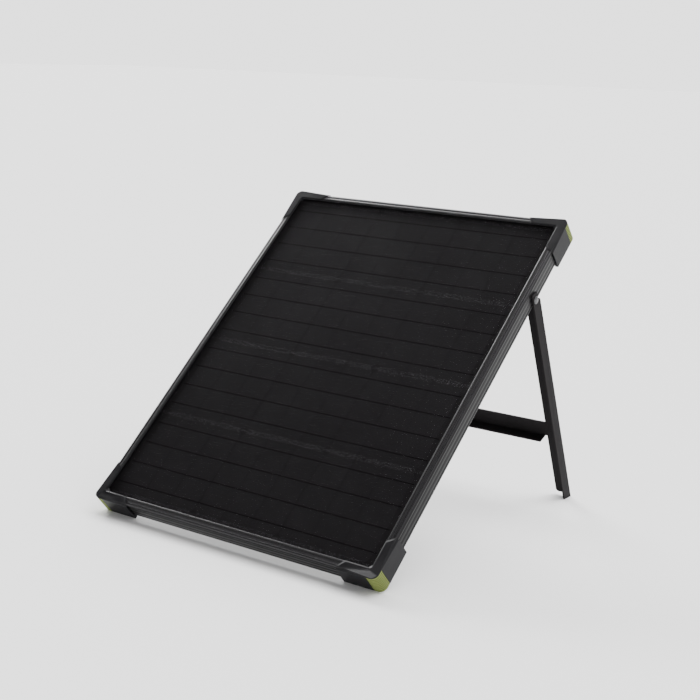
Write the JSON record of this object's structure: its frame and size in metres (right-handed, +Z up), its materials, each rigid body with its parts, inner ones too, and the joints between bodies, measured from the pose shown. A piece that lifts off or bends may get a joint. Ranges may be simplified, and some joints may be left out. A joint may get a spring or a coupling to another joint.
{
  "type": "solar panel with kickstand",
  "caption": "Framed rigid solar panel with wrapped corner guards, leaning back on a folding U-shaped rear kickstand.",
  "frame": {"origin": "on the floor under the middle of the part's footprint, with the kickstand open", "axes": "+X across the panel towards its right edge as seen from the front, +Y backwards from the panel's lower edge towards the kickstand's feet, +Z up"},
  "size_m": [0.5472, 0.5838, 0.4762],
  "materials": {
    "anodised_frame": "satin black anodised",
    "seal_rubber": "matte black",
    "solar_glass": "fine-textured matte glass",
    "solar_cells": "near-black cells in clear encapsulant",
    "backsheet": "black film",
    "key_plastic": "moulded, matte",
    "guard_plastic": "moulded, fine grain",
    "lime_rubber": "ribbed matte rubber",
    "black_steel": "black zinc plated",
    "zinc_steel": "zinc plated",
    "box_plastic": "moulded, matte",
    "terminal_plastic": "moulded, matte",
    "diode_body": "moulded epoxy",
    "kickstand_coat": "satin black powder coat"
  },
  "bodies": {
    "panel": {"frame_rail_bottom": "anodised_frame", "frame_rail_right": "anodised_frame", "frame_rail_top": "anodised_frame", "frame_rail_left": "anodised_frame", "edge_seal_bottom": "seal_rubber", "edge_seal_right": "seal_rubber", "edge_seal_top": "seal_rubber", "edge_seal_left": "seal_rubber", "front_glass": "solar_glass", "cell_layer": "solar_cells", "backsheet": "backsheet", "corner_key_top_right": "key_plastic", "corner_guard_top_right": "guard_plastic", "corner_insert_top_right": "lime_rubber", "guard_screw_top_right_1": "black_steel", "guard_screw_top_right_2": "black_steel", "corner_key_top_left": "key_plastic", "corner_guard_top_left": "guard_plastic", "corner_insert_top_left": "lime_rubber", "guard_screw_top_left_1": "black_steel", "guard_screw_top_left_2": "black_steel", "corner_key_bottom_left": "key_plastic", "corner_guard_bottom_left": "guard_plastic", "corner_insert_bottom_left": "lime_rubber", "guard_screw_bottom_left_1": "black_steel", "guard_screw_bottom_left_2": "black_steel", "corner_key_bottom_right": "key_plastic", "corner_guard_bottom_right": "guard_plastic", "corner_insert_bottom_right": "lime_rubber", "guard_screw_bottom_right_1": "black_steel", "guard_screw_bottom_right_2": "black_steel", "junction_box_base": "box_plastic", "junction_box_gasket": "seal_rubber", "junction_box_lid": "box_plastic", "junction_box_screw_1": "zinc_steel", "junction_box_screw_2": "zinc_steel", "junction_box_screw_3": "zinc_steel", "junction_box_screw_4": "zinc_steel", "terminal_block": "terminal_plastic", "bypass_diode": "diode_body", "cable_gland_body": "box_plastic", "cable_gland_nut": "box_plastic", "pivot_bolt_left": "black_steel", "pivot_washer_left": "zinc_steel", "pivot_nut_left": "zinc_steel", "pivot_bolt_right": "black_steel", "pivot_washer_right": "zinc_steel", "pivot_nut_right": "zinc_steel"},
    "kickstand": {"kickstand_leg_left": "kickstand_coat", "kickstand_leg_right": "kickstand_coat", "kickstand_crossbar": "kickstand_coat"}
  },
  "joints": [
    {"name": "kickstand_fold", "type": "hinge", "parent": "panel", "child": "kickstand", "pos_m": [0, 0.11989, 0.35986], "axis": [1, 0, 0], "range_deg": [-72.2, 0]}
  ]
}
